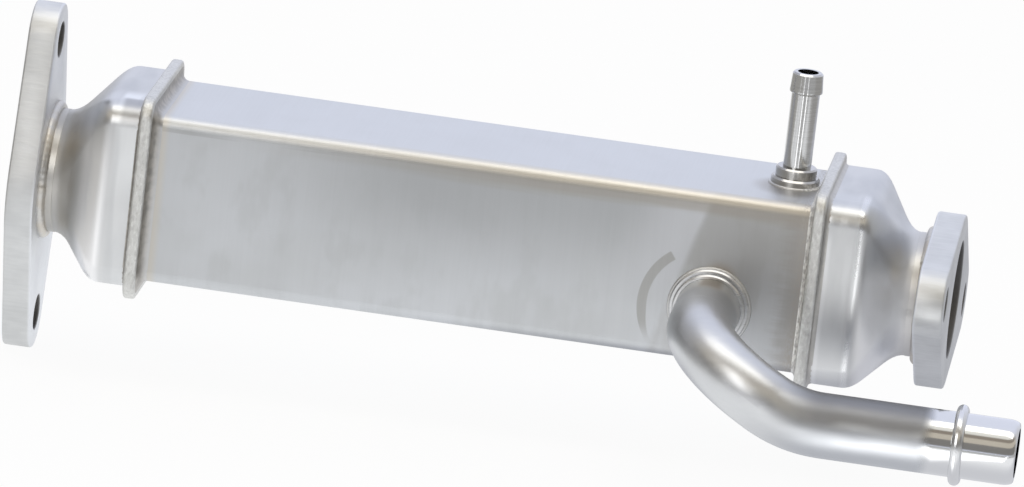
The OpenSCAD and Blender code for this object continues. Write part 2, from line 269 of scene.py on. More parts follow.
NIPPLE_X = middle_of("bleed_nipple").x
for strip_x, lean, nearest_y, light in (
        (NIPPLE_X, -0.194, -0.26, 2.6),
        (NIPPLE_X, 0.311, -0.08, 2.6),
        (INLET_STRIP_X, -0.552, -0.06, 1.35)):
    strip = ease(abs(x + y * lean - strip_x), STRIP_HALF + STRIP_BLUR, STRIP_HALF)
    strip = strip * ease(y, nearest_y, nearest_y - STRIP_FADE)
    mirrored_tone = mix_colour(strip, mirrored_tone, (light, light, light))
print("strips aimed from x", round(NIPPLE_X, 4), "and", INLET_STRIP_X)

# %% [markdown]
# The paint itself mixes the two: matt where light falls and the shadow forms, glow for what is seen
# straight or in a mirror. A mix by Light Path keeps the background even without any more light on the
# steel.

# %% Floor paint
WHITE = (1, 1, 1)
MATT_WHITE = (0.9, 0.9, 0.9, 1)
GLOW_SHARE = 0.93


def ray(place, kind):
    """1 for the rays of this kind and 0 for all others."""
    return place.node("ShaderNodeLightPath", None, None, kind)


seen = ray(spot, "Is Camera Ray")
mirrored = ray(spot, "Is Glossy Ray") + ray(spot, "Is Transmission Ray")
glow = spot.node("ShaderNodeEmission", None, {"Color": mix_colour(seen, mirrored_tone, WHITE)})
matt = spot.node("ShaderNodeBsdfDiffuse", None, {"Color": MATT_WHITE})
share = spot.math("MINIMUM", seen + mirrored, 1.0) * GLOW_SHARE
paint = spot.node("ShaderNodeMixShader", None, {0: share, 1: matt, 2: glow})
spot.node("ShaderNodeOutputMaterial", None, {"Surface": paint})
floor.data.materials.append(floor_paint)
print("floor paint:", floor_paint.name, "glows", GLOW_SHARE)

# %% [markdown]
# The room is what the shell's top and the upper half of the pipe mirror. A grey world would do for dull
# things. This one is pale lavender overhead and behind, darker at the sides, and has warm and dark bands
# towards the camera, because the photograph shows such bands on the polished hose end. The camera itself
# sees white.

# %% Room
LAVENDER = (0.92, 0.96, 1.11)
FRONT_LOW = (0.26, 0.25, 0.235)
# Each band: the height of view, from 0 to 1, where it starts and where it is full, and its tone.
FRONT_BANDS = (
    (0.44, 0.48, (0.66, 0.60, 0.50)),
    (0.70, 0.73, (0.33, 0.285, 0.235)),
    (0.83, 0.87, (1.0, 0.98, 0.90)))

world = bpy.data.worlds.new("studio_room")
world.use_nodes = True
world.node_tree.nodes.clear()
bpy.context.scene.world = world
look = Wire(world.node_tree.nodes.new("ShaderNodeTexCoord").outputs["Generated"])
x, y, z = (axis(look, name) for name in "XYZ")
front_tone = FRONT_LOW
for band_low, band_high, tone in FRONT_BANDS:
    front_tone = mix_colour(ease(z, band_low, band_high), front_tone, tone)
right_side, left_side = ease(x, 0.2, 0.95), ease(x, -0.3, -0.9)
front_side = ease(y, 0.25, -0.35) * ease(z, 0.0, 0.08)
room = layered(mix_colour(right_side, LAVENDER, (0.70, 0.70, 0.70)), (
    (left_side, 1, (0.46, 0.46, 0.48)),
    (front_side, 1, front_tone),
    (ray(look, "Is Camera Ray"), 1, WHITE)))
backdrop = look.node("ShaderNodeBackground", None, {"Color": room, "Strength": 1.0})
look.node("ShaderNodeOutputWorld", None, {"Surface": backdrop})
print("room:", world.name, "with", len(FRONT_BANDS), "bands in front")

# %% [markdown]
# Two soft boxes give the light a direction: a wide warm one overhead and a smaller one at the left, in
# front. A sun lamp would cut hard shadows, and a point lamp would show in the steel as a dot. An area
# lamp shows as a soft rectangle, as in a studio.

# %% Lamps
def softbox(name, place, aim, width, height, watts, colour):
    """A rectangular lamp that faces a point."""
    lamp = bpy.data.lights.new(name, "AREA")
    lamp.shape, lamp.size, lamp.size_y = "RECTANGLE", width, height
    lamp.energy, lamp.color = watts, colour
    box = bpy.data.objects.new(name, lamp)
    bpy.context.scene.collection.objects.link(box)
    box.location = place
    box.rotation_euler = (Vector(aim) - Vector(place)).to_track_quat("-Z", "Y").to_euler()


softbox("overhead_softbox", place=(0.1, -0.25, 1.3), aim=(MIDDLE_X, 0, 0),
        width=1.6, height=0.5, watts=3.5, colour=(1, 0.96, 0.89))
softbox("left_softbox", place=(-0.2, -1.15, 0.6), aim=(0, 0, 0.03),
        width=0.5, height=0.7, watts=2.6, colour=WHITE)

# %% [markdown]
# ## Steel finishes
# Every piece is bare stainless steel, and what tells them apart is how each one was worked: the sheet is
# brushed, the headers are drawn in a press, the flanges are ground, the nipple is turned. A finish could
# be one grey with one roughness. Here each one gets the marks of its own tool, as a fine relief and as a
# change of roughness, and the straw and brown tints that welding leaves on stainless steel.

# %% Steel base
MM = 0.001
STRAW, BROWN = (0.66, 0.58, 0.44), (0.40, 0.34, 0.27)
finishes = {}


def steel(place, colour, roughness, height, depth):
    """Closes a finish: bare metal with this colour, roughness and relief of so many metres."""
    bump = place.node("ShaderNodeBump", None, {"Height": height, "Distance": depth})
    shader = place.node("ShaderNodeBsdfPrincipled", None, {
        "Base Color": colour, "Metallic": 1.0, "Roughness": roughness, "Normal": bump})
    place.node("ShaderNodeOutputMaterial", None, {"Surface": shader})


print("tints:", STRAW, BROWN)

# %% [markdown]
# The shell is sheet steel, brushed across its length. An image of brushed metal would need UV seams.
# Noise that is fine along X and drawn out along Y and Z gives such streaks on all four sides at once.
# Wider noises add the bands of the brush, the clouds of handling and the mottled skin of the sheet.

# %% Brush marks on the shell
shell_low, shell_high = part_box("shell")
SHELL_START, SHELL_END = shell_low.x, shell_high.x
SHELL_FRONT, SHELL_TOP = shell_low.y, shell_high.z

finishes["shell_steel"], place = new_finish("shell_steel")
x, y, z = (axis(place, name) for name in "XYZ")
streaks = noise(place, 1600, (1, 0.02, 0.02), 4)
bands = noise(place, 160, (1, 0.04, 0.04), 3)
clouds = noise(place, 34, (0.6, 1, 1), 3)
mottle = noise(place, 130, (1, 0.5, 0.5), 3)
specks = noise(place, 2200, (1, 1, 0.4), 3)
drips = noise(place, 420, (0.06, 1, 1), 2)
ticks = noise(place, 900, (0.12, 1, 1), 3)
on_front = ease(y, SHELL_FRONT + 4 * MM, SHELL_FRONT + 1 * MM)
on_top = ease(z, SHELL_TOP - 3 * MM, SHELL_TOP - 1 * MM)
print("shell from", round(SHELL_START, 4), "to", round(SHELL_END, 4))

# %% [markdown]
# The outlet end was brazed last, and its heat has darkened the sheet behind a slanting line, with a paler
# wedge before it. Braze has spat a ragged fringe beside the plate, and the rims at the plates and the
# pipe's collar are straw or brown. Round the nipple's seat the top is darkened by braze heat and by painted
# shade that stands for the nipple's dark reflection. Painted maps could show this, but masks on coordinates
# stay tied to the solids: each one is measured from the edge or the middle of the piece that made the heat.

# %% Heat on the shell
HEAT_LEAN = 0.295
HEAT_LINE = SHELL_END - 35.6 * MM
collar = middle_of("pipe_collar")


def distance(first, second):
    """Distance from the origin of two coordinates."""
    return (first * first + second * second) ** 0.5


leaning = x - HEAT_LEAN * z
hot_end = ease(leaning + 4 * MM * clouds, HEAT_LINE, HEAT_LINE + 2.7 * MM) * on_front
wedge = ease(leaning, HEAT_LINE - 24.5 * MM, HEAT_LINE - 2.5 * MM) * ease(z, -12 * MM, 8 * MM)
wedge = wedge * (1 - hot_end) * on_front
fringe = ease(x + 8 * MM * ticks, SHELL_END - 6 * MM, SHELL_END + 1 * MM) * on_front
hot_start = ease(x - 2 * MM * bands, SHELL_START + 4.4 * MM, SHELL_START + 2.1 * MM)
hot_edge = ease(x + 4 * MM * bands, SHELL_END - 3.5 * MM, SHELL_END) * ease(specks, 0.35, 0.60)
above_collar = distance(x - collar.x - 2 * MM, z - collar.z - 8 * MM)
hot_rim = ease(above_collar + 4 * MM * clouds, 8.5 * MM, 5 * MM) * on_front
from_seat = distance(x - NIPPLE_X, y + 4 * MM)
# Braze heat round the nipple's seat, together with painted shade for the nipple's dark reflection.
seat_heat_and_shade = ease(from_seat + 4 * MM * clouds, 15 * MM, 9.5 * MM) * on_top
print("heat line", round(HEAT_LINE, 4), "collar at", round(collar.x, 4), round(collar.z, 4))

# %% [markdown]
# A clamp has left a dull arc beside the collar. It is a ring, cut off by a slanting line and faded out
# below, which takes one distance and a few steps. Along the top edge a warm painted highlight is laid on
# the rounding, with painted shade and a row of dried drips under it.

# %% Marks of use on the shell
CLAMP_X, CLAMP_Z = collar.x - 1.2 * MM, collar.z - 0.7 * MM
CLAMP_INSIDE, CLAMP_OUTSIDE = 16 * MM, 19 * MM
CLAMP_TURN = math.radians(36)

across, upward = x - CLAMP_X, z - CLAMP_Z
from_clamp = distance(across, upward)
narrowing = 1.6 * MM * ease(upward, -1 * MM, -13 * MM)
beside = math.cos(CLAMP_TURN) * across + math.sin(CLAMP_TURN) * upward
arc = ease(from_clamp - narrowing, CLAMP_INSIDE, CLAMP_INSIDE + 0.4 * MM)
arc = arc * ease(from_clamp, CLAMP_OUTSIDE, CLAMP_OUTSIDE - 0.3 * MM)
arc = arc * ease(beside, 0.2 * MM, -0.2 * MM) * ease(upward, -12 * MM, -5 * MM) * on_front

upper_half = ease(z + 14 * MM * clouds, -10 * MM, 30 * MM)
upper_half = upper_half * (0.25 + 0.75 * ease(x, 55 * MM, 120 * MM)) * on_front
# A warm painted highlight along the rounded top-front edge.
edge_highlight = ease(z, SHELL_TOP - 3.6 * MM, SHELL_TOP - 1.8 * MM) * ease(x, 20 * MM, 200 * MM)
edge_highlight = edge_highlight * ease(y, SHELL_FRONT + 4.5 * MM, SHELL_FRONT + 1.2 * MM)
# Painted shade under that highlight, broken up by noise.
shade_under_edge = ease(z + 2.4 * MM * drips + 2 * MM * clouds, SHELL_TOP - 4.8 * MM, SHELL_TOP - 2.4 * MM)
shade_under_edge = shade_under_edge * ease(z + 1 * MM * clouds, SHELL_TOP - 0.7 * MM, SHELL_TOP - 1.5 * MM)
shade_under_edge = shade_under_edge * ease(y, SHELL_FRONT + 3.5 * MM, SHELL_FRONT + 2.5 * MM)
shade_under_edge = shade_under_edge * ease(x, 50 * MM, 160 * MM)
tide = ease(z + 0.6 * MM * drips, SHELL_TOP - 4 * MM, SHELL_TOP - 3.6 * MM) * ease(drips, 0.40, 0.62)
tide = tide * ease(z, SHELL_TOP - 2.8 * MM, SHELL_TOP - 3.2 * MM) * ease(x, 190 * MM, 100 * MM) * on_front
print("clamp arc", round(CLAMP_INSIDE, 4), "to", round(CLAMP_OUTSIDE, 4), "round", round(CLAMP_X, 4))

# %% [markdown]
# Now the coats go on, from the broad ones to the small ones. The roughness follows the streaks and the
# clouds, because a brush leaves dull and bright lines, and the clamp has dulled its arc. The relief is
# very low: taller streaks would look like a file's.

# %% Brushed sheet
BRUSH_DEPTH = 0.008 * MM

sheet = layered(mix_colour(bands, (0.54, 0.555, 0.57), (0.60, 0.615, 0.63)), (
    (ease(clouds, 0.35, 0.65), 0.7, (0.66, 0.68, 0.71)),
    (ease(mottle, 0.50, 0.68), 0.3, (0.50, 0.515, 0.52)),
    (upper_half, 0.9, (0.405, 0.415, 0.425)),
    # Painted light: the top face is made lighter than the front.
    (on_top, 0.75, (0.70, 0.715, 0.73)),
    (tide, 0.45, (0.36, 0.36, 0.36)),
    (wedge, 0.7, (0.60, 0.61, 0.635)),
    (hot_end * (0.2 + 0.4 * upper_half), 1, (0.42, 0.415, 0.405)),
    (hot_end * ease(mottle, 0.44, 0.62), 0.2, (0.36, 0.35, 0.335)),
    (fringe, 0.45, (0.34, 0.315, 0.285)),
    # Painted highlight on the top edge and painted shade under it.
    (edge_highlight, 0.75, (0.76, 0.71, 0.61)),
    (shade_under_edge, 0.6, (0.36, 0.33, 0.285)),
    (hot_start, 0.35, STRAW),
    (hot_edge, 0.6, (0.42, 0.39, 0.35)),
    (hot_rim, 0.6, BROWN),
    (seat_heat_and_shade, 0.6, (0.42, 0.405, 0.385)),
    (arc, 0.8, (0.43, 0.43, 0.42))))
dullness = 0.36 + 0.14 * streaks + 0.08 * clouds + 0.10 * arc
steel(place, sheet, dullness, streaks + 0.6 * bands + 12 * clouds, BRUSH_DEPTH)
print("shell finish:", len(finishes["shell_steel"].node_tree.nodes), "nodes")

# %% [markdown]
# The headers are drawn from sheet in a press. Drawing stretches the skin, which leaves it smooth with a
# faint orange peel and a few wrinkles. One grey would hide how the sheet turns, so the masks below follow
# the form from end to end: neck, slope, bend and skirt, each measured from the flange or the tube plate
# next to it. Most of them carry painted light and shade: lighter lower slopes and skirts, painted shade on
# the upper outlet slope and over the inlet's top corner, and a painted highlight on the outlet's hem.

# %% Form of the headers
FLANGE_T, OUTLET_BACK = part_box("inlet_flange")[1].x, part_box("outlet_flange")[0].x
PLATE_IN, PLATE_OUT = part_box("inlet_tube_plate")[0].x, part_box("outlet_tube_plate")[1].x
INLET_NECK, OUTLET_NECK = FLANGE_T + 5 * MM, OUTLET_BACK - 5 * MM
INLET_BEND, OUTLET_BEND = PLATE_IN - 8 * MM, PLATE_OUT + 9.5 * MM


def near_inlet(along):
    """1 at the inlet's end of the cooler and 0 on all the rest."""
    return ease(along, 60 * MM, 50 * MM)


finishes["header_steel"], place = new_finish("header_steel")
x, y, z = (axis(place, name) for name in "XYZ")
on_front = ease(y, -8 * MM, -16 * MM)
at_inlet = near_inlet(x)
# Masks for painted light and shade: lighter lower slopes and skirts, shade on the upper outlet slope and
# the inlet's top corner, a highlight on the outlet's hem.
inlet_slope_light = ease(x, INLET_BEND - 9.3 * MM, INLET_BEND - 5.8 * MM) * ease(z, 26 * MM, 12 * MM)
inlet_slope_light = inlet_slope_light * ease(x, INLET_BEND + 1 * MM, INLET_BEND - 1.6 * MM) * on_front
inlet_skirt = ease(x, INLET_BEND + 0.4 * MM, INLET_BEND + 2.2 * MM) * at_inlet * on_front
inlet_ridge_shade = ease(x, INLET_BEND + 0.7 * MM, INLET_BEND + 3.2 * MM) * at_inlet
inlet_ridge_shade = inlet_ridge_shade * ease(z, 23.2 * MM, 25.5 * MM) * ease(y, -17 * MM, -20 * MM)
past_bend = ease(x, OUTLET_BEND + 1.1 * MM, OUTLET_BEND + 5.1 * MM) * on_front
outlet_slope_light = past_bend * ease(z, 15 * MM, 8 * MM)
outlet_shade = past_bend * ease(z, 11 * MM, 18 * MM)
outlet_skirt = ease(x, OUTLET_BEND - 0.1 * MM, OUTLET_BEND - 1.4 * MM) * (1 - at_inlet) * on_front
outlet_hem_highlight = ease(x, PLATE_OUT + 0.7 * MM, PLATE_OUT + 1.6 * MM) * ease(z, 24 * MM, 18 * MM)
outlet_hem_highlight = outlet_hem_highlight * ease(x, PLATE_OUT + 2.9 * MM, PLATE_OUT + 1.8 * MM) * on_front
print("bends at x", round(INLET_BEND, 4), round(OUTLET_BEND, 4))

# %% [markdown]
# The press has polished the bends, where the sheet slid over the die, and the weld at the flange has
# browned the neck. The bright coat on the bends is this polish together with a painted highlight. These
# marks, the painted light and shade of the form and the smears of handling are coats over the form, as on
# the shell.

# %% Pressed sheet
PEEL_DEPTH = 0.010 * MM

peel = noise(place, 900, (1, 1, 1), 3)
smears = noise(place, 90, (1, 0.35, 0.35), 3)
wrinkles = noise(place, 230, (1, 0.10, 0.10), 1)
# The bends' polish together with a painted highlight along them.
polish_and_sheen = 0.45 * ease(abs(x - INLET_BEND + 0.6 * MM), 3 * MM, 0.4 * MM)
polish_and_sheen = (polish_and_sheen + ease(abs(x - OUTLET_BEND - 0.6 * MM), 1.6 * MM, 0.4 * MM)) * on_front
smudges = ease(x, OUTLET_BEND - 0.9 * MM, OUTLET_BEND + 10.1 * MM) * on_front * ease(smears, 0.42, 0.60)
neck_heat = ease(x + 3 * MM * smears, INLET_NECK + 13 * MM, INLET_NECK)
neck_heat = neck_heat + ease(x - 4 * MM * smears, OUTLET_NECK - 6 * MM, OUTLET_NECK + 3 * MM)
past_weld = ease(x, INLET_NECK - 0.5 * MM, INLET_NECK + 2 * MM) * at_inlet
lit_skirt = inlet_skirt * (0.35 + 0.65 * ease(z, 0, 16 * MM)) + 0.3 * outlet_skirt

skin = layered(mix_colour(ease(smears, 0.32, 0.68), (0.53, 0.54, 0.55), (0.66, 0.665, 0.67)), (
    # Painted light and shade of the form: slopes, skirts, ridge and hem.
    (inlet_slope_light + 0.9 * outlet_slope_light, 1, (0.94, 0.94, 0.95)),
    (outlet_shade, 0.6, (0.44, 0.45, 0.475)),
    (lit_skirt, 1, (0.83, 0.845, 0.855)),
    (inlet_skirt * ease(wrinkles, 0.46, 0.62), 0.35, (0.52, 0.53, 0.54)),
    (inlet_ridge_shade, 0.85, (0.40, 0.405, 0.415)),
    (outlet_hem_highlight, 0.5, (0.90, 0.91, 0.92)),
    (polish_and_sheen, 0.45, (0.86, 0.87, 0.88)),
    (smudges, 0.16, (0.48, 0.455, 0.41)),
    (neck_heat * (0.48 + 0.32 * past_weld), 1, (0.45, 0.415, 0.35))))
steel(place, skin, 0.32 + 0.10 * smears - 0.10 * polish_and_sheen, peel + 0.8 * smears + 30 * wrinkles, PEEL_DEPTH)
print("header finish:", len(finishes["header_steel"].node_tree.nodes), "nodes")

# %% [markdown]
# The tube plates only show their edges. These were sheared, and braze has run over them, so they are
# rough and frosted. A displaced mesh would need millions of faces for such crumbs. A tall bump over fine
# noise does it.

# %% Sheared plate
CRUMB_DEPTH = 0.18 * MM

finishes["plate_steel"], place = new_finish("plate_steel")
crumbs = noise(place, 1300, (1, 1, 0.5), 4)
patches = noise(place, 200, (1, 1, 1), 3)
edge = layered(mix_colour(patches, (0.56, 0.56, 0.545), (0.76, 0.76, 0.74)), (
    (ease(crumbs, 0.52, 0.66), 0.4, (0.90, 0.91, 0.89)),
    (ease(crumbs, 0.46, 0.34), 0.35, (0.42, 0.415, 0.40))))
steel(place, edge, 0.36 + 0.2 * crumbs, crumbs + 0.6 * patches, CRUMB_DEPTH)
print("plate finish:", len(finishes["plate_steel"].node_tree.nodes), "nodes")

# %% [markdown]
# The bolt holes and the gas bores of the flanges are painted dark inside, as painted shade. Dark faces
# could be given to the walls of the holes, but the CAD mesh stays as it is, so the painted shade is a mask
# round the axis of each hole. The record's mounts say where these axes are. The bolts stand on a circle,
# turned by an angle of its own at each end.

# %% Holes in the flanges
BOLT_TURN = {"inlet": math.radians(5), "outlet": math.radians(77)}
mounts = {mount["name"]: mount for mount in frame["record"]["mounts"]}
flange_holes = []
for end, turn in BOLT_TURN.items():
    bolts, bore = mounts[end + "_bolts"], mounts[end + "_bore"]
    reach = bolts["dims"]["pcd_mm"] / 2 * MM
    for way in (1, -1):
        hole_y = -way * reach * math.sin(turn)
        hole_z = bolts["pos_m"][2] + way * reach * math.cos(turn)
        flange_holes.append((end, hole_y, hole_z, bolts["dims"]["hole_r_mm"] * MM))
    flange_holes.append((end, 0, bore["pos_m"][2], bore["dims"]["r_mm"] * MM))
print("holes:", [(end, round(hole_y, 4), round(hole_z, 4)) for end, hole_y, hole_z, hole_r in flange_holes])

# %% [markdown]
# The flanges are thick plate with a ground rim, where the wheel has left short lines across the
# thickness. Brushed streaks from the shell would run the wrong way, so this noise is drawn out along X.
# The backs of the flanges are painted paler and bluer, which is painted light.

# %% Ground plate
SHADE_RIM = 0.7 * MM
GRIND_DEPTH = 0.070 * MM

finishes["flange_steel"], place = new_finish("flange_steel")
x, y, z = (axis(place, name) for name in "XYZ")
lines = noise(place, 1300, (0.10, 1, 0.6), 4)
blotches = noise(place, 70, (1, 1, 1), 3)
at_end = {"inlet": near_inlet(x), "outlet": 1 - near_inlet(x)}
# Painted light: the backs of the flanges are paler and bluer.
back = ease(x, FLANGE_T - 1 * MM, FLANGE_T - 0.1 * MM) * at_end["inlet"]
back = back + ease(x, OUTLET_BACK + 1 * MM, OUTLET_BACK + 0.1 * MM) * at_end["outlet"]
# Painted shade inside the bolt holes and the gas bores.
hole_shade = 0.0
for end, hole_y, hole_z, hole_r in flange_holes:
    in_hole = ease(distance(y - hole_y, z - hole_z), hole_r + SHADE_RIM, hole_r)
    hole_shade = in_hole * at_end[end] + hole_shade
wheel_marks = 0.65 * ease(blotches, 0.30, 0.70) + 0.35 * ease(lines, 0.30, 0.70)
ground = layered(mix_colour(wheel_marks, (0.61, 0.62, 0.625), (0.75, 0.76, 0.765)), (
    (back, 0.7, (0.84, 0.86, 0.90)),
    (hole_shade, 1, (0.20, 0.195, 0.19))))
steel(place, ground, 0.42 + 0.16 * lines + 0.2 * hole_shade, lines + 0.5 * blotches, GRIND_DEPTH)
print("flange finish:", len(finishes["flange_steel"].node_tree.nodes), "nodes")

# %% [markdown]
# The pipe is drawn tube. Its bends are satin, with soft waves where the bender has pressed it, and its hose
# end was sized in a die together with the bead, which has polished it. Two materials would meet in a hard
# line, so one material changes over from satin to polish, and the painted shade on top of the tail, a
# painted highlight at the root and the burnt root are coats on it.

# %% Drawn tube
hose_end = mounts["hose_end"]
TAIL_Y, TAIL_Z = hose_end["pos_m"][1:]
PIPE_R = hose_end["dims"]["r_mm"] * MM
POLISHED_FROM = cad_box[1].x - 24.5 * MM
WAVE_DEPTH = 0.05 * MM

finishes["pipe_steel"], place = new_finish("pipe_steel")
x, y, z = (axis(place, name) for name in "XYZ")
waves = noise(place, 70, (1, 1, 1), 1)
scuffs = noise(place, 700, (0.25, 1, 1), 3)
polished = ease(x + 3 * MM * waves, POLISHED_FROM - 0.5 * MM, POLISHED_FROM + 3.5 * MM)
on_bead = ease(distance(y - TAIL_Y, z - TAIL_Z), PIPE_R + 0.1 * MM, PIPE_R + 0.6 * MM) * polished
on_tail = ease(x, 220 * MM, 236 * MM) * (1 - polished)
# Painted shade along the top of the tail.
tail_shade_line = z + 4 * MM * waves - 1.8 * MM * ease(x, 246 * MM, 264 * MM)
tail_shade = on_tail * ease(tail_shade_line, TAIL_Z + 2.1 * MM, TAIL_Z + 5.9 * MM)
at_root = ease(y + 6 * MM * waves, SHELL_FRONT - 12 * MM, SHELL_FRONT - 5 * MM)
burnt = at_root * ease(abs(x - collar.x - 0.2 * MM), 4.2 * MM, 1.8 * MM)

tube_skin = layered(mix_colour(scuffs, (0.59, 0.60, 0.615), (0.66, 0.67, 0.68)), (
    (polished, 1, (0.71, 0.715, 0.725)),
    (on_tail, 0.8, (0.56, 0.578, 0.605)),
    (tail_shade, 0.95, (0.245, 0.248, 0.257)),
    # Painted highlight on the pipe's root; the burn below is heat tint.
    (at_root, 0.75, (0.88, 0.88, 0.86)),
    (burnt, 0.75, BROWN)))
satin = 0.23 + 0.12 * scuffs + 0.14 * waves + 0.12 * tail_shade
satin = satin * (1 - 0.70 * polished) + 0.14 * on_bead
dents = 10 * waves * (1 - polished) + scuffs * (0.25 - 0.21 * polished)
steel(place, tube_skin, satin, dents, WAVE_DEPTH)
print("pipe polished from x", round(POLISHED_FROM, 4))

# %% [markdown]
# The nipple, its seat and the pipe's collar come from a lathe. Rings could be cut into the mesh, but they
# are finer than a hair. Noise that changes only along Z draws them round the nipple and its seat. The
# collar is duller from the braze, so its own lines hardly show, and the seat is browned.

# %% Turned steel
RING_DEPTH = 0.006 * MM

finishes["turned_steel"], place = new_finish("turned_steel")
y, z = axis(place, "Y"), axis(place, "Z")
rings = noise(place, 2600, (0.02, 0.02, 1), 2)
on_collar = ease(y, SHELL_FRONT + 1.5 * MM, SHELL_FRONT + 0.5 * MM)
on_seat = ease(z, SHELL_TOP + 5.9 * MM, SHELL_TOP + 4.9 * MM) * (1 - on_collar)
turned = mix_colour(rings, (0.50, 0.505, 0.51), (0.70, 0.70, 0.705))
turned = mix_colour(0.5 * on_seat, turned, (0.40, 0.385, 0.36))
steel(place, turned, 0.08 + 0.10 * rings + 0.16 * on_collar + 0.06 * on_seat, rings, RING_DEPTH)
print("turned finish:", len(finishes["turned_steel"].node_tree.nodes), "nodes")

# %% [markdown]
# The gas tubes inside are drawn, with marks along them. A weld is scaly, with patches of straw where it
# was hotter. The two differ only in their noises and tints, and each is one mix, so they need no coats.

# %% Tubes and welds
DRAW_DEPTH, SCALE_DEPTH = 0.010 * MM, 0.020 * MM

finishes["tube_steel"], place = new_finish("tube_steel")
draw_marks = noise(place, 900, (0.04, 1, 1), 3)
drawn = mix_colour(draw_marks, (0.44, 0.44, 0.46), (0.56, 0.56, 0.58))
steel(place, drawn, 0.22 + 0.12 * draw_marks, draw_marks, DRAW_DEPTH)

finishes["weld_steel"], place = new_finish("weld_steel")
scale = noise(place, 1100, (1, 1, 1), 4)
heat = noise(place, 160, (1, 1, 1), 2)
weld_tone = mix_colour(ease(heat, 0.42, 0.62), (0.62, 0.61, 0.59), (0.60, 0.565, 0.51))
steel(place, weld_tone, 0.34 + 0.16 * scale, scale, SCALE_DEPTH)
print("tube and weld finishes ready")

# %% [markdown]
# Braze flows into the seams as a dark brown film and runs out thin and bright over the sheet. At the
# outlet it has foamed into a pale froth. The fillets could have a material each. One is enough, because
# its coordinates say which seam it is on.

# %% Braze
FLOW_DEPTH = 0.012 * MM

finishes["braze_steel"], place = new_finish("braze_steel")
x = axis(place, "X")
flow = noise(place, 420, (1, 1, 1), 3)
froth = noise(place, 1300, (1, 1, 0.5), 4)
thin = ease(x, SHELL_START + 0.6 * MM, SHELL_START + 2.5 * MM)
thin = thin * ease(x, SHELL_END - 0.4 * MM, SHELL_END - 1.3 * MM)
frothy = ease(x, SHELL_END - 6 * MM, SHELL_END - 5 * MM)
frothy = frothy * ease(x, SHELL_END + 0.9 * MM, SHELL_END + 0.4 * MM)
braze_tone = mix_colour(ease(flow, 0.35, 0.65), (0.36, 0.345, 0.325), (0.50, 0.48, 0.45))
braze_tone = layered(braze_tone, (
    (thin, 0.8, (0.60, 0.605, 0.61)),
    (1 - near_inlet(x), 0.5, (0.66, 0.655, 0.64)),
    (frothy * ease(froth, 0.35, 0.60), 1, (0.90, 0.90, 0.88))))
steel(place, braze_tone, 0.34 + 0.2 * flow + 0.25 * frothy, flow + 12 * froth * frothy, FLOW_DEPTH)
print("braze finish:", len(finishes["braze_steel"].node_tree.nodes), "nodes")

# %% [markdown]
# The record names a material slot for each CAD node. Setting the materials by hand, node by node, would
# take 38 lines. A loop over the record gives each node the finish of its slot.

# %% Finishes for the CAD nodes
for part in frame["record"]["subparts"]:
    mesh = nodes[part["node"]].data
    mesh.materials.clear()
    mesh.materials.append(finishes[part["material_slot"]])
print("finishes:", sorted(finishes))

# %% [markdown]
# ## Softened edges
# No real edge is a perfect corner. The CAD solids have sharp ones, so the flanges, the plates and the
# headers would look cut from paper. A bevel modifier on the CAD mesh would be quick, but that mesh is
# loose triangles. So each piece is copied, its points are merged, its flat triangles are joined to whole
# faces, and then its sharp edges are bevelled. The copy stands in for the CAD node.

# %% A copy with round edges
MERGE, FLAT, SMOOTH = 0.004 * MM, math.radians(0.5), math.radians(32)
SHELL_AXIS = (shell_low.z + shell_high.z) / 2
SHELL_HALF = (shell_high.z - shell_low.z) / 2


def softened(node, name, width, sharp, steps, outside):
    """A copy of a CAD node whose sharp edges, from so far outside the shell's axis, are rounded."""
    bpy.ops.object.select_all(action="DESELECT")
    piece = bpy.data.objects.new(name, nodes[node].data.copy())
    bpy.context.scene.collection.objects.link(piece)
    piece.select_set(True)
    bpy.context.view_layer.objects.active = piece
    bpy.ops.object.mode_set(mode="EDIT")
    bpy.ops.mesh.select_all(action="SELECT")
    bpy.ops.mesh.customdata_custom_splitnormals_clear()
    bpy.ops.mesh.remove_doubles(threshold=MERGE)
    bpy.ops.mesh.dissolve_limited(angle_limit=FLAT)
    bpy.ops.mesh.select_mode(type="EDGE")
    bpy.ops.mesh.select_all(action="DESELECT")
    bpy.ops.mesh.edges_select_sharp(sharpness=math.radians(sharp))
    mesh = bmesh.from_edit_mesh(piece.data)
    for edge in mesh.edges:
        middle = (edge.verts[0].co + edge.verts[1].co) / 2
        if edge.select and max(abs(middle.y), abs(middle.z - SHELL_AXIS)) < outside:
            edge.select_set(False)
    bmesh.update_edit_mesh(piece.data)
    bpy.ops.mesh.bevel(offset=width, segments=steps, affect="EDGES", clamp_overlap=True)
    bpy.ops.object.mode_set(mode="OBJECT")
    bpy.ops.object.shade_smooth_by_angle(angle=SMOOTH)
    return piece


print("shell axis at z", round(SHELL_AXIS, 4), "half width", round(SHELL_HALF, 4))

# %% [markdown]
# Both ends have a flange, a plate and a header, so one loop makes all six copies. The flanges and plates
# get a round of three steps that shows in the picture. The headers are thin sheet, so only their cut rims
# are broken, and the plates keep sharp corners inside the shell, where nobody sees them.

# %% Flanges, plates and headers
def stand_in(piece, slot, finish, *replaced):
    """Gives a finished piece its material and its body, and hides the CAD nodes that it stands for. The
    slot is not used.
    """
    piece.data.materials.clear()
    piece.data.materials.append(finishes[finish])
    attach(piece, "root")
    if replaced:
        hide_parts(*replaced)
    print(piece.name, len(piece.data.polygons), "faces")


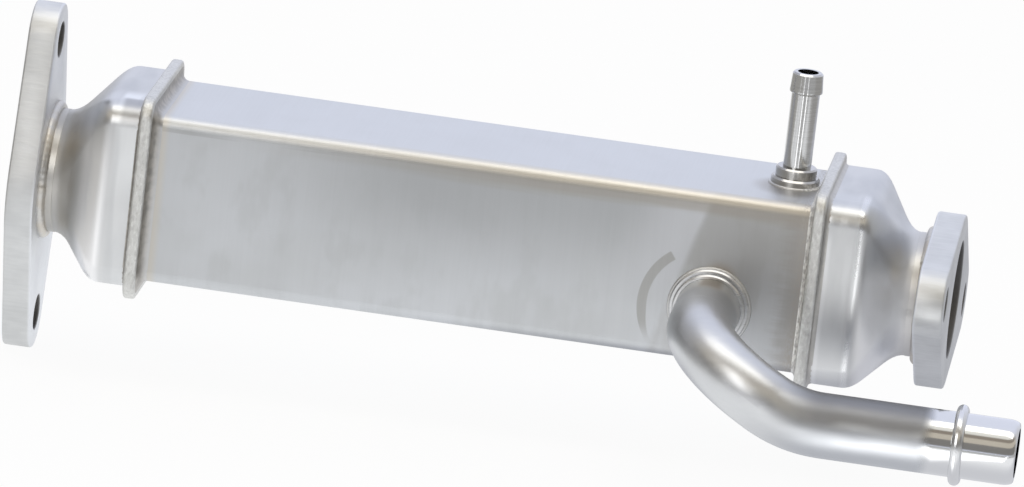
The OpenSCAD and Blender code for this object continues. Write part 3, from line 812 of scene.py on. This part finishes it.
for kind, new_kind, finish, width, sharp, steps, outside in (
        ("flange", "flange_ground", "flange_steel", 0.7 * MM, 50, 3, 0),
        ("tube_plate", "plate_lip", "plate_steel", 0.8 * MM, 50, 3, SHELL_HALF),
        ("header", "header_pressed", "header_steel", 0.2 * MM, 60, 1, 0)):
    for end in ("inlet", "outlet"):
        node = f"{end}_{kind}"
        piece = softened(node, f"{end}_{new_kind}", width, sharp, steps, outside)
        stand_in(piece, finish, finish, node)

# %% [markdown]
# ## Weld beads
# In edit mode an operator acts on all that is selected. By hand one clicks the points or draws a box over
# them. A script has no mouse, so it runs through the mesh and selects what passes a test of its place.

# %% Selecting by place
def pick(piece, wanted, kind="verts"):
    """Selects, in edit mode, the points or edges whose middle passes the test."""
    mesh = bmesh.from_edit_mesh(piece.data)
    for everything in (mesh.verts, mesh.edges, mesh.faces):
        for element in everything:
            element.select = False
    for element in getattr(mesh, kind):
        ends = getattr(element, "verts", (element,))
        if wanted(sum((point.co for point in ends), Vector()) / len(ends)):
            element.select_set(True)
    bmesh.update_edit_mesh(piece.data)


print("selector ready")

# %% [markdown]
# A header's neck is welded into its flange by a bead that the welder lays round it drop by drop, so it
# has ripples. A plain torus would look like a rubber ring, but it is a good start. Every third slice of
# it is fattened to a crest, and a few slices more where the welder stopped and started again.

# %% A rippled ring
UPRIGHT = {"X": (0, math.pi / 2, 0), "Y": (math.pi / 2, 0, 0), "Z": (0, 0, 0)}
ACROSS = {"X": (1, 2), "Y": (0, 2), "Z": (0, 1)}
SLICES_A_RIPPLE, POINTS_A_SLICE = 3, 10
CREST, STOP_LUMP, STOP_WIDTH = 0.06, 0.08, 0.09


def weld_ring(name, along, middle, radius, bead, ripples, stops=()):
    """A rippled bead round an axis, with a lump at each angle where the welder stopped."""
    slices = SLICES_A_RIPPLE * ripples
    bpy.ops.object.select_all(action="DESELECT")
    bpy.ops.mesh.primitive_torus_add(
        location=middle, rotation=UPRIGHT[along], major_radius=radius, minor_radius=bead,
        major_segments=slices, minor_segments=POINTS_A_SLICE)
    ring = bpy.context.object
    ring.name = name
    bpy.ops.object.transform_apply(location=True, rotation=True)

    def turn(point):
        first, second = ACROSS[along]
        return math.atan2(point[first] - middle[first], point[second] - middle[second]) % (2 * math.pi)

    def slice_number(point):
        return round(turn(point) / (2 * math.pi) * slices) % slices

    bpy.ops.object.mode_set(mode="EDIT")
    bpy.ops.mesh.select_mode(type="VERT")
    pick(ring, lambda p: slice_number(p) % SLICES_A_RIPPLE == 0)
    bpy.ops.transform.shrink_fatten(value=CREST * bead)
    for stop in stops:
        pick(ring, lambda p: abs(turn(p) - math.radians(stop)) < STOP_WIDTH)
        bpy.ops.transform.shrink_fatten(value=STOP_LUMP * bead)
    bpy.ops.object.mode_set(mode="OBJECT")
    smooth = ring.modifiers.new("round", "SUBSURF")
    smooth.levels = smooth.render_levels = 1
    bpy.ops.object.modifier_apply(modifier=smooth.name)
    bpy.ops.object.shade_smooth()
    return ring


print("ring of", SLICES_A_RIPPLE, "slices a ripple")

# %% [markdown]
# Each bead lies in the corner between the back of its flange and the outside of the neck, which is the
# gas bore plus the wall of the sheet. The two welds could be one ring copied, but the welder stopped at
# other places on each, so both are made by the same function with their own stops.

# %% Neck welds
HEADER_WALL = 1.2 * MM
NECK_BEAD, BEAD_OUT, NECK_RIPPLES = 1.7 * MM, 0.4 * MM, 62

for end, flange_back, way, stops in (
        ("inlet", FLANGE_T, 1, (40, 168, 262, 331)),
        ("outlet", OUTLET_BACK, -1, (75, 201, 256, 318))):
    bore = mounts[end + "_bore"]
    middle = (flange_back + way * BEAD_OUT, 0, bore["pos_m"][2])
    radius = bore["dims"]["r_mm"] * MM + HEADER_WALL + BEAD_OUT
    ring = weld_ring(f"{end}_neck_weld", "X", middle, radius, NECK_BEAD, NECK_RIPPLES, stops)
    stand_in(ring, "header_steel", "weld_steel")

# %% [markdown]
# The pipe's collar and the nipple's seat are brazed on the sheet, with a thin bead of braze round each.
# It could be a smooth torus, but braze creeps in small waves, so the same rippled ring is used, thinner,
# and half of it is inside the sheet.

# %% Braze round the collar and the seat
BRAZE_BEAD, BRAZE_RIPPLES = 0.6 * MM, 40

for name, node, along, sheet_face in (
        ("collar_braze", "pipe_collar", "Y", SHELL_FRONT),
        ("seat_braze", "nipple_seat", "Z", SHELL_TOP)):
    lowest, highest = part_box(node)
    middle = middle_of(node)
    middle["XYZ".index(along)] = sheet_face
    ring = weld_ring(name, along, middle, (highest.x - lowest.x) / 2, BRAZE_BEAD, BRAZE_RIPPLES)
    stand_in(ring, "plate_steel", "braze_steel")

# %% [markdown]
# ## Braze fillets
# Where sheet meets plate, molten braze has run into the corner and set in a hollow curve. A round tube of
# filler would look like a gasket. So the fillet starts as the outline of the sheet, a square with round
# corners, and the outline is extruded along the hollow curve, ring by ring, from the sheet up to the
# plate and back inside.

# %% A hollow fillet
CURVE_STEPS, CORNER_STEPS = 6, 6
BURIED, SAME_PLACE = 0.4 * MM, 0.001 * MM
FILLET_SMOOTH = math.radians(40)


def braze_fillet(name, plate_x, way, half, corner, reach, rise):
    """A hollow fillet round a square sheet, from the plate's face out along X by reach, and up by rise."""
    def on_curve(share):
        angle = share * math.pi / 2
        return plate_x + way * reach * (1 - math.sin(angle)), half + rise * (1 - math.cos(angle))

    outlines = [on_curve(k / CURVE_STEPS) for k in range(CURVE_STEPS + 1)]
    outlines.append((plate_x - way * BURIED, half + rise))
    outlines.append((plate_x - way * BURIED, half - BURIED))
    outlines.append((plate_x + way * reach, half - BURIED))
    start_x, start_half = outlines[0]
    bpy.ops.object.select_all(action="DESELECT")
    bpy.ops.mesh.primitive_plane_add(
        size=2 * start_half, location=(start_x, 0, SHELL_AXIS), rotation=UPRIGHT["X"])
    fillet = bpy.context.object
    fillet.name = name
    bpy.ops.object.transform_apply(location=True, rotation=True)
    bpy.ops.object.mode_set(mode="EDIT")
    bpy.ops.mesh.select_mode(type="VERT")
    bpy.ops.mesh.select_all(action="SELECT")
    bpy.ops.mesh.bevel(offset=corner, segments=CORNER_STEPS, affect="VERTICES")
    bpy.ops.mesh.select_all(action="SELECT")
    bpy.ops.mesh.delete(type="ONLY_FACE")
    bpy.ops.mesh.select_mode(type="EDGE")
    bpy.ops.mesh.select_all(action="SELECT")
    for (x0, half0), (x1, half1) in zip(outlines, outlines[1:]):
        grow = half1 / half0
        bpy.ops.mesh.extrude_edges_move(TRANSFORM_OT_translate={"value": (x1 - x0, 0, 0)})
        bpy.ops.transform.resize(value=(1, grow, grow), center_override=(x1, 0, SHELL_AXIS))
    pick(fillet, lambda p: abs(p.x - start_x) < SAME_PLACE, "edges")
    bpy.ops.mesh.bridge_edge_loops()
    bpy.ops.mesh.select_all(action="SELECT")
    bpy.ops.mesh.normals_make_consistent(inside=False)
    bpy.ops.object.mode_set(mode="OBJECT")
    bpy.ops.object.shade_smooth_by_angle(angle=FILLET_SMOOTH)
    return fillet


print("fillet curve in", CURVE_STEPS, "steps")

# %% [markdown]
# There are four such seams, two at each plate: one with the shell and one with the skirt of the header.
# They differ in how far the braze has run, so a table has one row for each, and the function does the
# rest. The plates' faces come from the CAD boxes, so the fillets sit in the corners by themselves.

# %% Fillets round the sheet
SKIRT_HALF = SHELL_HALF + 2.5 * MM
SHELL_CORNER, SKIRT_CORNER = 3.4 * MM, 7 * MM

for name, plate_x, way, half, corner, reach, rise in (
        ("inlet_shell_braze", SHELL_START, 1, SHELL_HALF, SHELL_CORNER, 2.6 * MM, 3.2 * MM),
        ("inlet_skirt_braze", PLATE_IN, -1, SKIRT_HALF, SKIRT_CORNER, 0.8 * MM, 1.4 * MM),
        ("outlet_shell_braze", SHELL_END, -1, SHELL_HALF, SHELL_CORNER, 1.4 * MM, 3 * MM),
        ("outlet_skirt_braze", PLATE_OUT, 1, SKIRT_HALF, SKIRT_CORNER, 1.3 * MM, 1.4 * MM)):
    fillet = braze_fillet(name, plate_x, way, half, corner, reach, rise)
    stand_in(fillet, "plate_steel", "braze_steel")

# %% [markdown] ## Size and end The dressed model must not outgrow the CAD model.

# %% Size and end
print("CAD box", [tuple(round(v, 4) for v in c) for c in cad_box])
